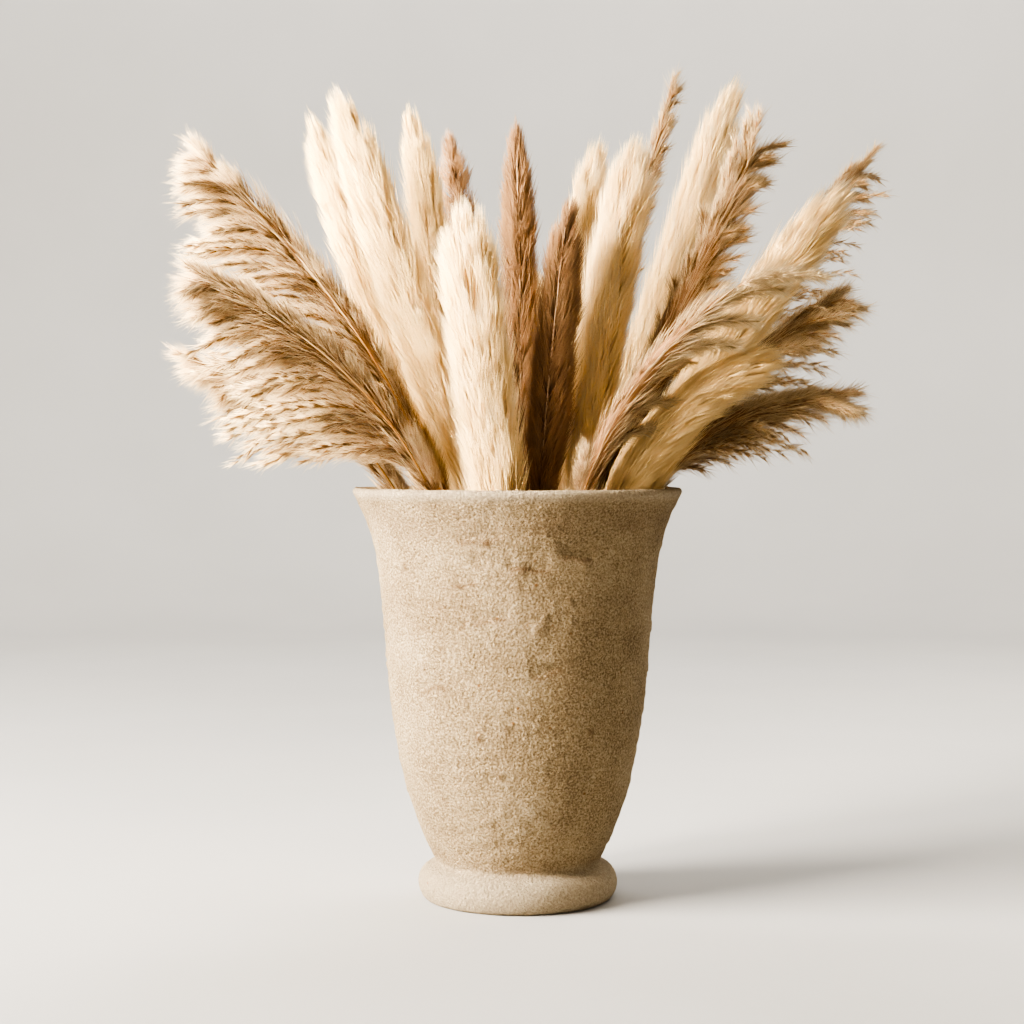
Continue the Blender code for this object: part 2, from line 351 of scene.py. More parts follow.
def coarse_stoneware(settings):
    """Unglazed grogged stoneware: a dry, sandy, matt skin with grains that catch the light,
    paler where it is rubbed, darker in its pits, with a few iron specks."""
    material, tree, shader = new_material("Stoneware, unglazed and sandy")
    place = add_node(tree, "TexCoord").outputs["Object"]
    grain = add_node(tree, "TexNoise", {0: place, "Scale": 1 / settings.grit, "Detail": 3.0,
                                        "Roughness": 0.8})
    pebble = add_node(tree, "TexVoronoi", {0: place, "Scale": 0.7 / settings.grit})
    # clouds of tone about 36 mm wide
    cloud = add_node(tree, "TexNoise", {0: place, "Scale": 28.0, "Detail": 5.0,
                                        "Roughness": 0.6})
    # the lip's rolled edge and the foot ring are rubbed paler than the body
    height = add_node(tree, "SeparateXYZ", {0: place}).outputs[2]
    lip = add_node(tree, "MapRange", {0: height, 1: LIP_RUB[0] * MM, 2: LIP_RUB[1] * MM})
    foot = add_node(tree, "MapRange", {0: height, 1: FOOT_RUB[0] * MM, 2: FOOT_RUB[1] * MM})
    rubbed = add_node(tree, "Math", {0: lip, 1: foot}, operation="ADD")
    # iron specks: cells 9 mm apart, with a spot 1 to 2 mm wide in about a quarter of them
    speck = add_node(tree, "TexVoronoi", {0: place, "Scale": 110.0})
    is_speck = add_node(tree, "MapRange", {0: speck.outputs["Distance"], 1: 0.05, 2: 0.11,
                                           3: 1.0, 4: 0.0})
    chosen = add_node(tree, "SeparateColor", {0: speck.outputs["Color"]})
    rare = add_node(tree, "Math", {0: chosen, 1: 0.72}, operation="GREATER_THAN")
    mark = add_node(tree, "Math", {0: is_speck, 1: rare}, operation="MULTIPLY")
    mottle = add_node(tree, "Math", {0: cloud, 1: 0.3, 2: grain}, operation="MULTIPLY_ADD")
    body = add_node(tree, "ValToRGB", {0: mottle}, stops=[
        (0.50, tuple(settings.clay_deep)), (0.64, tuple(settings.clay)),
        (0.80, tuple(settings.clay_pale))])
    pale = add_node(tree, "Math", {0: rubbed, 1: 0.38}, operation="MULTIPLY")
    worn = add_node(tree, "Mix", {0: pale, 6: body, 7: mixed(settings.clay_pale, WHITE, 0.12)},
                    data_type="RGBA")
    # darker at slip edges, dents and hand marks, from the vase's own points; the brown band under
    # the lip is partly painted shadow of the plumes
    stain = add_node(tree, "Attribute", attribute_name="stain")
    darkening = add_node(tree, "Math", {0: stain.outputs["Fac"], 1: 0.8}, operation="MULTIPLY")
    darkened = add_node(tree, "Mix", {0: darkening, 6: worn.outputs[2], 7: linear("#5f4429")},
                     data_type="RGBA")
    colour = add_node(tree, "Mix", {0: mark, 6: darkened.outputs[2], 7: linear("#7c5a38")},
                      data_type="RGBA")
    relief = add_node(tree, "Math", {0: pebble, 1: -0.45, 2: grain}, operation="MULTIPLY_ADD")
    bump = add_node(tree, "Bump", {"Height": relief, "Strength": 1.0, "Distance": 2.0 * MM})
    feed(tree, shader, {"Base Color": colour.outputs[2], "Normal": bump, "Roughness": 0.9,
                        "Specular IOR Level": 0.25})
    return material


# The vase
# Slip ledges: x and height of the middle, half length and slope, in millimetres.
LEDGES = ((-33, 146, 11, 0.9), (-14, 154, 12, 0.1), (-4, 181, 22, -0.06), (-30, 173, 12, 0.15),
          (18, 128, 14, 0.1), (-44, 118, 12, 0.2), (30, 186, 12, -0.1), (-20, 196, 14, 0.1))
# Dents and pits: x, height, size in millimetres, and how dark each is.
DENTS = ((-58, 180, 1.6, 0.8), (-16, 193, 2.0, 0.9), (-20, 94, 1.8, 0.9), (-6, 99, 1.5, 0.7),
         (37, 96, 1.9, 0.9), (-9, 74, 1.4, 0.8), (1, 181, 4.2, 0.25), (11, 149, 3.6, 0.2),
         (-38, 60, 1.3, 0.7), (26, 165, 1.4, 0.6), (-48, 128, 1.3, 0.6))

# Outer profile as (height, radius) in millimetres, from the waist to the lip.
BODY_PROFILE = [(20, 44.0), (27, 47.5), (40, 53.0), (65, 61.0), (103, 67.8), (142, 71.2),
                (181, 75.2), (200, 80.0), (212, 85.2)]
WALL, LIP_RADIUS, LIP_TOP, LIP_HEIGHT, FLOOR_HEIGHT = 5.5, 2.2, 88.0, 221.5, 32.0
FOOT_HEIGHT, FOOT_RADIUS, FOOT_REST = 20.0, 53.5, 48.5
TURNS, OUTER_ROWS, INNER_ROWS = 384, 172, 66
LIP_RUB, FOOT_RUB = (213, 217), (24, 17)  # heights between which the rubbed edge fades in
# Height of each kind of relief on the wall, in millimetres. Dents go inwards.
SOFT_LUMPS, SLIP_FOLDS, PITS, ROUGHNESS, DRAGGED_SLIP, DENT_DEPTH = 0.45, 0.55, 0.5, 0.22, 1.8, 0.8
RIDGE_PITCH = 9  # millimetres between throwing ridges
# Brown bands on the wall: middle height, half width (both in millimetres) and strength. The top
# one, under the lip, is partly a stain and partly painted shadow of the plumes over the rim.
BANDS = ((203, 9, 1.0), (25, 5, 0.8), (160, 14, 0.35))


def through(keys, count):
    """Catmull-Rom curve through the keys, read at `count` evenly spread places."""
    keys = np.array(keys, dtype=float)
    padded = np.vstack([2 * keys[0] - keys[1], keys, 2 * keys[-1] - keys[-2]])
    share = np.linspace(0, len(keys) - 1 - 1e-9, count)
    i = share.astype(int)
    t = (share - i)[:, None]
    a, b, c, d = padded[i], padded[i + 1], padded[i + 2], padded[i + 3]
    return 0.5 * (2 * b + (c - a) * t + (2 * a - 5 * b + 4 * c - d) * t ** 2
                  + (3 * b - a - 3 * c + d) * t ** 3)


def bow(centre, radii, start, end, count):
    """Points on an ellipse in the (radius, height) plane, between two angles in degrees."""
    angle = np.radians(np.linspace(start, end, count))
    return np.column_stack([centre[0] + radii[0] * np.cos(angle),
                            centre[1] + radii[1] * np.sin(angle)])


def even(points, count):
    """The same curve with `count` points, evenly spaced along it."""
    travelled = np.concatenate([[0], np.cumsum(np.linalg.norm(np.diff(points, axis=0), axis=1))])
    at = np.linspace(0, travelled[-1], count)
    return np.column_stack([np.interp(at, travelled, points[:, i]) for i in range(2)])


def vase_section(height):
    """Half section as (radius, height) in metres: from the inner floor's centre up the inside,
    over the lip, down the outside and in along the foot; and how much of the surface relief
    each point takes (1 outside, less on the foot ring, little inside)."""
    body = through(BODY_PROFILE, 120)[:, ::-1]
    inner = body[body[:, 1] > FLOOR_HEIGHT + WALL] - [WALL, 0]
    corner = bow((inner[0, 0] - WALL, FLOOR_HEIGHT + WALL), (WALL, WALL), -90, -10, 6)
    top = height / MM - LIP_RADIUS
    lip = bow((LIP_TOP - LIP_RADIUS, top), (LIP_RADIUS, LIP_RADIUS), 180, -20, 14)
    waist, middle = BODY_PROFILE[0][1], 0.45 * FOOT_HEIGHT
    ring = np.vstack([bow((waist, middle), (FOOT_RADIUS - waist, FOOT_HEIGHT - 1.5 - middle),
                          75, 0, 12),
                      bow((FOOT_REST, middle), (FOOT_RADIUS - FOOT_REST, middle), -12, -90, 10)])
    inside = even(np.vstack([[0.0, FLOOR_HEIGHT], corner, inner, lip[:7]]), INNER_ROWS)
    outside = even(np.vstack([lip[7:], body[::-1], ring]), OUTER_ROWS)
    under = even(np.array([[FOOT_REST, 0.0], [0.0, 0.0]]), 8)[1:]
    section = np.vstack([inside, outside, under])
    relief = np.concatenate([np.full(INNER_ROWS, 0.35),
                             0.45 + 0.55 * smooth((outside[:, 1] - FOOT_HEIGHT) / 12),
                             np.zeros(len(under))])
    relief *= smooth(section[:, 0] / 12) * np.where(section[:, 1] < 0.4, 0, 1)
    return section * MM, relief


def mark_place(x, height):
    """Azimuth and radius of the front wall's point at this x and height, in millimetres."""
    heights, radii = np.array(BODY_PROFILE).T
    radius = np.interp(height, heights, radii)
    return math.atan2(-math.sqrt(radius ** 2 - x ** 2), x), radius


def slip_ledges(base, turn):
    """Height of the folds that dragged slip left, and how much darker the wall is under them:
    above a slanting line the wall steps out and fades away upwards over 5 mm; the colour is darker
    in a band just under the step."""
    ledge, edge = np.zeros(base.shape[:2]), np.zeros(base.shape[:2])
    wobble = 1.6 * lumps(base, 11 * MM, 16) + 0.9 * lumps(base, 4 * MM, 17)
    torn = smooth(1.4 * lumps(base, 9 * MM, 18) + 0.9)
    for x, height, half, rise in LEDGES:
        azimuth, radius = mark_place(x, height)
        along = radius * ((turn - azimuth + math.pi) % TAU - math.pi)
        up = base[..., 2] / MM - height - rise * along + wobble
        window = smooth((half - np.abs(along)) / 5) * torn
        ledge += window * smooth(up / 1.4 + 0.5) * np.exp(-np.maximum(up, 0) / 5)
        # a darker band just under the step
        edge += window * np.exp(-((up + 0.8) / 1.0) ** 2) * 0.85
    return ledge, edge


def dents(base):
    """Depth and darkening of round dents and burnt-out pits: both fall off as a bell curve."""
    dent, darkening = np.zeros(base.shape[:2]), np.zeros(base.shape[:2])
    for x, height, size, dark in DENTS:
        azimuth, radius = mark_place(x, height)
        centre = np.array([radius * math.cos(azimuth), radius * math.sin(azimuth), height]) * MM
        bell = np.exp(-(np.linalg.norm(base - centre, axis=-1) / (size * MM)) ** 3)
        dent += bell
        darkening += dark * bell
    return dent, darkening


def bands(height):
    """Browner bands under the lip, at the waist and faintly between them, where wet hands held
    the clay: each is a bell curve of the height. The band under the lip is also painted shadow of
    the plumes over the rim."""
    return sum(strength * np.exp(-((height / MM - middle) / width) ** 2)
               for middle, width, strength in BANDS)


class BOUQUET_OT_vase(Operator):
    """Make the thrown stoneware vase"""
    bl_idname = "bouquet.vase"
    bl_label = "Stoneware vase"

    def execute(self, context):
        """A section turned about the vertical axis, each point moved along the section's
        outward direction by throwing ridges, lumps, slip ledges and pits."""
        settings = context.scene.bouquet_vase
        section, relief = vase_section(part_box("vase")[1][2])
        rows = len(section)
        slope = unit(np.gradient(section, axis=0))
        outward = np.column_stack([slope[:, 1], -slope[:, 0]])
        turn = np.arange(TURNS) * TAU / TURNS
        ring = np.stack([np.cos(turn), np.sin(turn), np.zeros(TURNS)], -1)
        base = section[:, None, :1] * ring + section[:, None, 1:] * [0.0, 0.0, 1.0]
        away = outward[:, None, :1] * ring + outward[:, None, 1:] * [0.0, 0.0, 1.0]
        height = base[..., 2]
        flat = base * [1.0, 1.0, 3.2]  # noise cells wider than tall, as the hand drags the clay
        wander = 9 * MM * lumps(base, 60 * MM, 3)
        ridges = np.sin(TAU * (height + wander) / (RIDGE_PITCH * MM))
        ridges *= 0.6 + 0.6 * lumps(base, 35 * MM, 4)
        soft = 0.4 * lumps(base, 30 * MM, 5) + 0.4 * lumps(base, 12 * MM, 6)
        ledge_noise = lumps(flat, 22 * MM, 7) + 0.5 * lumps(flat, 9 * MM, 8)
        ledges = smooth((ledge_noise - 0.42) / 0.10) * smooth((1.0 - ledge_noise) / 0.5)
        ledges *= smooth(lumps(base, 55 * MM, 9) * 1.4 + 0.45)
        pits = -smooth((lumps(base, 4.5 * MM, 10) - 0.62) / 0.2)
        rough = lumps(base, 2.4 * MM, 11)
        ledge, edge = slip_ledges(base, turn)
        dent, darkening = dents(base)
        move = (settings.ridge * ridges + SOFT_LUMPS * MM * soft + SLIP_FOLDS * MM * ledges
                + PITS * MM * pits + ROUGHNESS * MM * rough + DRAGGED_SLIP * MM * ledge
                - DENT_DEPTH * MM * dent)
        cloud = 0.6 + 0.5 * lumps(flat, 18 * MM, 15)
        # darker bands under the slip ledges, darker dents and pits, and brown bands; the band
        # under the lip is partly painted shadow of the plumes
        stain = np.clip(edge + darkening + 0.4 * cloud * bands(height), 0, 1) * (relief > 0.3)[:, None]
        points = base + away * (move * relief[:, None])[..., None]
        points = np.concatenate([[[0, 0, section[0, 1]]], points[1:-1].reshape(-1, 3),
                                 [[0, 0, section[-1, 1]]]])
        a, b = cells(rows - 2, TURNS, 1)
        walls = np.stack([a, b + TURNS, b, a, a + TURNS, b + TURNS], -1).reshape(-1, 3)
        k, after = np.arange(TURNS), (np.arange(TURNS) + 1) % TURNS
        last = 1 + (rows - 3) * TURNS
        start = np.stack([np.zeros(TURNS, int), 1 + k, 1 + after], -1)
        end = np.stack([np.full(TURNS, last + TURNS), last + after, last + k], -1)
        triangles = np.concatenate([walls, start, end])
        vase = piece("vase_stoneware", [(points, triangles, None)], coarse_stoneware(settings),
                     "vase")
        stain = np.concatenate([[0], stain[1:-1].ravel(), [0]])
        vase.data.attributes.new("stain", "FLOAT", "POINT").data.foreach_set("value", stain)
        return {"FINISHED"}


# The plumes

def centre_line(node_name):
    """The line down the middle of a plume's node: each coordinate is a cubic in the share of
    the way from its foot (0) to its tip (1), fitted to the node's points. Returns the four
    coefficients, the line's length and the node's largest radius."""
    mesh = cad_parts[node_name].data
    flat = np.empty(len(mesh.vertices) * 3)
    mesh.vertices.foreach_get("co", flat)
    points = flat.reshape(-1, 3)
    centre = points.mean(axis=0)
    way = np.linalg.svd(points - centre, full_matrices=False)[2][0]
    way = way * np.sign(way[2])
    share = (points - centre) @ way
    share = (share - share.min()) / (share.max() - share.min())
    cubic = np.polyfit(share, points, 3)
    on_line = read_line(cubic, share)[0]
    length = np.linalg.norm(np.diff(read_line(cubic, np.linspace(0, 1, 50))[0], axis=0),
                            axis=1).sum()
    return cubic, length, np.linalg.norm(points - on_line, axis=1).max()


def read_line(cubic, share):
    """Points of the line and its directions at the shares; straight on beyond both ends."""
    inside = np.clip(share, 0, 1)[..., None]
    point = ((cubic[0] * inside + cubic[1]) * inside + cubic[2]) * inside + cubic[3]
    slope = (3 * cubic[0] * inside + 2 * cubic[1]) * inside + cubic[2]
    return point + slope * (share[..., None] - inside), unit(slope)


def square_to(ahead):
    """Two directions square to the line: the one most to the front, and the one to its right."""
    front = unit(np.array([0.0, -1.0, 0.0]) + ahead * ahead[..., 1:2])
    return front, np.cross(ahead, front)


def outline(share, low, shoulder):
    """Radius of a plume as a share of its largest: it swells from `low` over the first four
    tenths, then from `shoulder` on it closes to the tip like the end of a superellipse."""
    swell = low + (1 - low) * smooth(share / 0.4)
    end = np.clip((share - shoulder) / (1.03 - shoulder), 0, 1)
    return swell * np.sqrt(np.maximum(1 - end ** 2.8, 0.0004))


# How each kind of brush-like plume grows. Shares named below are of the plume's largest radius.
# tufts x hairs: number of fibres; hair: their length in mm; low, shoulder: see outline;
# fold: azimuth of the parting (0 is the front); gap: half width of the parting in radians;
# sweep: how far hairs near the parting turn away from it; tone: 0 is the root's colour and 1 the
# tip's; rise: tone from foot to tip; droop: mm a hair's tip sinks; deep: how far out the hair's
# root is; lean: how far the roots lean to the parting; stalk: how far in front the bare stalk
# shows (0 for none); puff: how far the hair reaches, as a share of the outline; core: tone of
# the dense heart.
# A lower tone at the foot (rise) is partly the hair's own tan and partly painted shade deep in the
# bunch; the dark heart (core) is painted shade inside the plume.
BRUSH = {
    "pampas": dict(tufts=620, hairs=13, hair=40, low=0.72, shoulder=0.72, fold=0.4, gap=0.03,
                   sweep=0.16, tone=0.60, rise=0.18, droop=2.0, deep=0.35, lean=0.0, stalk=0.0,
                   puff=1.05, core=0.5),
    "foxtail": dict(tufts=640, hairs=11, hair=26, low=0.50, shoulder=0.34, fold=0.0, gap=0.06,
                    sweep=0.34, tone=0.36, rise=0.14, droop=1.0, deep=0.15, lean=0.42,
                    stalk=0.78, puff=1.12, core=0.2),
}
BRUSH_CHANGES = {
    "pampas_left_outer": dict(tufts=560, tone=0.56, fold=0.9, shoulder=0.62),
    "pampas_left": dict(tone=0.64, fold=0.7, shoulder=0.62, rise=0.06),
    "pampas_back_left": dict(tone=0.42, fold=0.6, tufts=400, shoulder=0.62),
    "pampas_front": dict(tone=0.66, fold=0.9, rise=0.24, puff=1.12),
    "pampas_back": dict(tufts=420, tone=0.66, shoulder=0.66),
    "pampas_right": dict(tone=0.78, fold=0.5, rise=0.08, low=0.6),
    "pampas_right_tall": dict(tone=0.76, fold=0.8, shoulder=0.66, tufts=520, rise=0.2),
    "pampas_right_outer": dict(tone=0.74, fold=0.2),
    "pampas_right_low": dict(tone=0.58, fold=0.3, tufts=480, droop=3.0),
    "pampas_behind": dict(tufts=380),
    "foxtail_back_left": dict(tufts=340, tone=0.56, hair=20, puff=1.35, shoulder=0.62, gap=0.02,
                              sweep=0.1, stalk=0.0, lean=0.1, rise=0.3),
    "foxtail_middle": dict(tone=0.34, rise=0.24),
    "foxtail_front": dict(fold=-0.2, rise=0.06),
    "foxtail_behind_right": dict(tufts=380),
}
HEART = 0.42  # radius of a brush's dense heart, as a share of its outline


def inside_mouth(points):
    """Keeps points that are lower than the lip clear of the vase's wall: a point under the
    mouth moves in to the inner wall's radius less a millimetre."""
    heights, radii = np.array(BODY_PROFILE).T * MM
    room = np.interp(points[..., 2], heights, radii) - (WALL + 1) * MM
    out = np.linalg.norm(points[..., :2], axis=-1)
    inner = (points[..., 2] < LIP_HEIGHT * MM) & (out < (LIP_TOP + 3) * MM)
    scale = np.where(inner, np.minimum(1, room / np.maximum(out, 1e-6)), 1)
    return points * np.stack([scale, scale, np.ones_like(scale)], axis=-1)


def brush(name, kind, fibre):
    """A brush-like plume. Every hair starts near the centre line, leaves it quickly and then
    lies along the outline: its distance from the line is root + (outline - root) times
    1 - (1 - t)^1.8 for t from 0 at the root to 1 at the tip. Hairs of a tuft share their place
    and draw together at the tip, and they part at the fold."""
    look = {**BRUSH[kind], **BRUSH_CHANGES.get(name, {})}
    rng = generator(name)
    cubic, length, radius = centre_line(name + "_plume")
    tufts, hairs = look["tufts"], look["hairs"]
    hair = look["hair"] * MM * rng.uniform(0.75, 1.15, tufts)
    share = rng.uniform(0.06, 1.0, tufts) ** 0.9
    away = rng.uniform(0, 1, tufts)
    side = rng.choice([-1.0, 1.0], tufts)
    azimuth = side * (look["gap"] + (math.pi - look["gap"]) * away)
    # darker towards the foot: partly the hair's own tone, partly painted shade
    tone = look["tone"] + look["rise"] * (share - 0.5) + rng.normal(0, 0.09, tufts)
    hair *= 1 - 0.3 * smooth((share - 0.7) / 0.3)
    reach = rng.uniform(0.82, 1.0, tufts)
    reach *= np.where(share > 0.93, rng.uniform(0.1, 1.0, tufts), 1.0)  # fills the tip's end

    n = tufts * hairs
    share = np.repeat(share, hairs) + rng.normal(0, 0.012, n)
    side = np.repeat(side, hairs)
    root_azimuth = np.repeat(azimuth, hairs) + rng.normal(0, 0.36, n)
    tip_azimuth = np.repeat(azimuth, hairs) + rng.normal(0, 0.20, n)
    tip_azimuth += (side * look["sweep"] * np.exp(-np.abs(tip_azimuth) / 0.9)
                    * smooth((1.02 - share) / 0.15))
    hair = np.repeat(hair, hairs) * rng.uniform(0.82, 1.1, n)
    wild = 1 + rng.uniform(0.05, 0.36, n) * (rng.uniform(0, 1, n) > 0.78)
    reach = np.repeat(reach, hairs) * rng.uniform(0.93, 1.05, n) * wild * look["puff"]
    tone = np.repeat(tone, hairs) + rng.normal(0, 0.05, n)

    t = np.array([0.0, 0.42, 1.0])  # root, bend and tip of a hair
    along = share[:, None] + (0.94 * hair / length)[:, None] * (t - 1)
    centre, ahead = read_line(cubic, along)
    front, right = square_to(ahead)
    fold = look["fold"]
    turn = fold + root_azimuth[:, None] + (tip_azimuth - root_azimuth)[:, None] * t
    root_out = look["deep"] * radius * outline(along[:, 0], look["low"], look["shoulder"])
    tip_out = reach * radius * outline(along[:, -1], look["low"], look["shoulder"])
    out = root_out[:, None] + (tip_out - root_out)[:, None] * (1 - (1 - t) ** 1.8)
    paths = centre + out[..., None] * (front * np.cos(turn)[..., None]
                                       + right * np.sin(turn)[..., None])
    toward = look["lean"] * radius * (1 - t) ** 1.5
    paths += toward[:, None] * (front * math.cos(fold) + right * math.sin(fold))
    paths[..., 2] -= look["droop"] * MM * t ** 2
    paths += rng.normal(0, 0.35 * MM, paths.shape) * t[:, None]
    width = fibre * rng.uniform(0.7, 1.15, n)[:, None] * np.array([1.0, 0.8])
    tone = np.clip(tone, 0.02, 0.98) * HUSK_START
    parts = [fibres(inside_mouth(paths), width, tone)]

    # the dense heart, in a darker tone: painted shade inside the plume
    spine = np.linspace(-0.02, 0.93, 22)
    core, ahead = read_line(cubic, spine)
    parts.append(hose(core, HEART * radius * outline(spine, look["low"], look["shoulder"])
                      * smooth((0.95 - spine) / 0.15), look["core"] * HUSK_START))
    if look["stalk"]:
        front, right = square_to(ahead)
        line = core + look["stalk"] * radius * outline(spine, look["low"], look["shoulder"])[
            :, None] * (front * math.cos(fold) + right * math.sin(fold))
        parts.append(fibres(line[None], np.linspace(0.6, 0.35, 21)[None] * MM,
                            np.array([0.95])))
    return parts


# How each reed branches.
# side: the way its branches hang (x, y, z); branches: their number; branch: length in mm at the
# foot and the tip; long: share of them that reach it; edge: the x in mm that none passes;
# up: how much they climb; drop: how far a tip sinks, as a share of the length; spread: how far
# they fan out of the plane of `side`; top: where the highest one springs, 1 being the tip;
# back: share of short upright branches; upright: their length in mm; tuck: how far they lean to
# the other side; joints: joints on a branch; husk: spikelet size in mm; fuzz: hairs at a joint;
# hair: their length in mm; open: how far they stand off the branch; close: number of hairs
# round the stalk; stalk: how far in front it shows, as a share of the plume's radius (0 for
# none); core: radius of the dense heart, as the same share; tone: 0 is the root's colour and 1
# the tip's; rise: tone from foot to tip; pale: tone towards the branches' ends; vary: spread.
# Low on a plume (rise), near its stalk (pale) and in its heart (core) the hair is darker: partly
# its own colour, partly painted shade deep in the bunch.
REED = dict(side=(1, 0, 0), branches=64, branch=(70, 30), drop=0.25, fuzz=15, hair=11,
            tone=0.36, rise=0.12, spread=0.5, husk=5.5, joints=14, up=0.75, pale=0.75,
            edge=None, long=0.4, close=1100, back=0.22, stalk=0.0, open=(0.2, 0.62),
            upright=(14, 24), top=0.97, vary=0.10, tuck=0.16, core=0.2)
SIDE_REED = dict(branch=(66, 24), branches=70, fuzz=14, tone=0.46, joints=14, pale=0.9, back=0.35,
                 spread=0.9, open=(0.3, 0.9), upright=(16, 32), top=0.84, vary=0.14, core=0.5)
CLIMB, SWING = 0.62, 0.72  # how far a branch's tip goes up the line and out, as shares of its size
REED_CHANGES = {
    "reed_left_high": dict(side=(-1, -0.1, -0.12), branches=104, branch=(126, 20), drop=0.15,
                           edge=-170, hair=12.5, joints=22, spread=0.45, pale=0.95, tone=0.38,
                           long=0.6, stalk=0.7, up=0.66, top=0.90),
    "reed_left_front": dict(side=(-1, -0.05, -0.2), branches=90, branch=(112, 20), drop=0.20,
                            edge=-160, hair=12.5, joints=20, spread=0.4, pale=0.95,
                            stalk=0.75, up=0.66, top=0.88),
    "reed_left_low": dict(side=(-1, 0, -0.25), branches=66, branch=(80, 22), drop=0.30,
                          edge=-156, hair=12, pale=0.9, tone=0.34, close=1800, stalk=0.7),
    "reed_behind_left": dict(side=(-0.6, 0.8, 0), branches=54, fuzz=14, branch=(46, 20),
                             drop=0.10, joints=12, tone=0.40, spread=0.8, core=0.5,
                             open=(0.3, 0.9), upright=(16, 30), hair=12),
    "reed_back_right": dict(side=(0.5, 0.1, 0.5), branch=(26, 8), branches=50, fuzz=14,
                            joints=8, drop=0.0, up=0.8, pale=0.5, back=0.4, close=900,
                            tone=0.32),
    "reed_right": dict(side=(1, -0.1, 0), branch=(34, 14), branches=92, fuzz=19,
                       drop=0.06, pale=0.3, tone=0.22, back=0.5, close=3000, spread=0.8,
                       long=0.6, joints=11, open=(0.2, 0.7), up=1.05, upright=(20, 36),
                       tuck=0.30, rise=0.25, core=0.6),
    "reed_right_back": dict(side=(1, 0.1, -0.1), branch=(94, 14), branches=86, fuzz=9, hair=9,
                            drop=0.08, tone=0.44, edge=208, close=500, joints=16, pale=0.9,
                            long=0.6, back=0.4, upright=(20, 48), spread=0.7, top=0.90,
                            open=(0.3, 0.8)),
    "reed_right_middle": dict(SIDE_REED, side=(1, 0, -0.2), drop=0.10, edge=190),
    "reed_right_low": dict(SIDE_REED, side=(1, 0, -0.3), drop=0.14, edge=184),
    "reed_front_right": dict(side=(1, 0.1, 0.12), branch=(40, 36), branches=9, fuzz=62,
                             drop=0.22, joints=17, husk=4.5, spread=0.3, long=1.0,
                             close=700, back=0.0, pale=0.70, tone=0.40, rise=0.4, core=0.35,
                             stalk=0.3, open=(0.4, 1.0), vary=0.16, up=0.9),
}


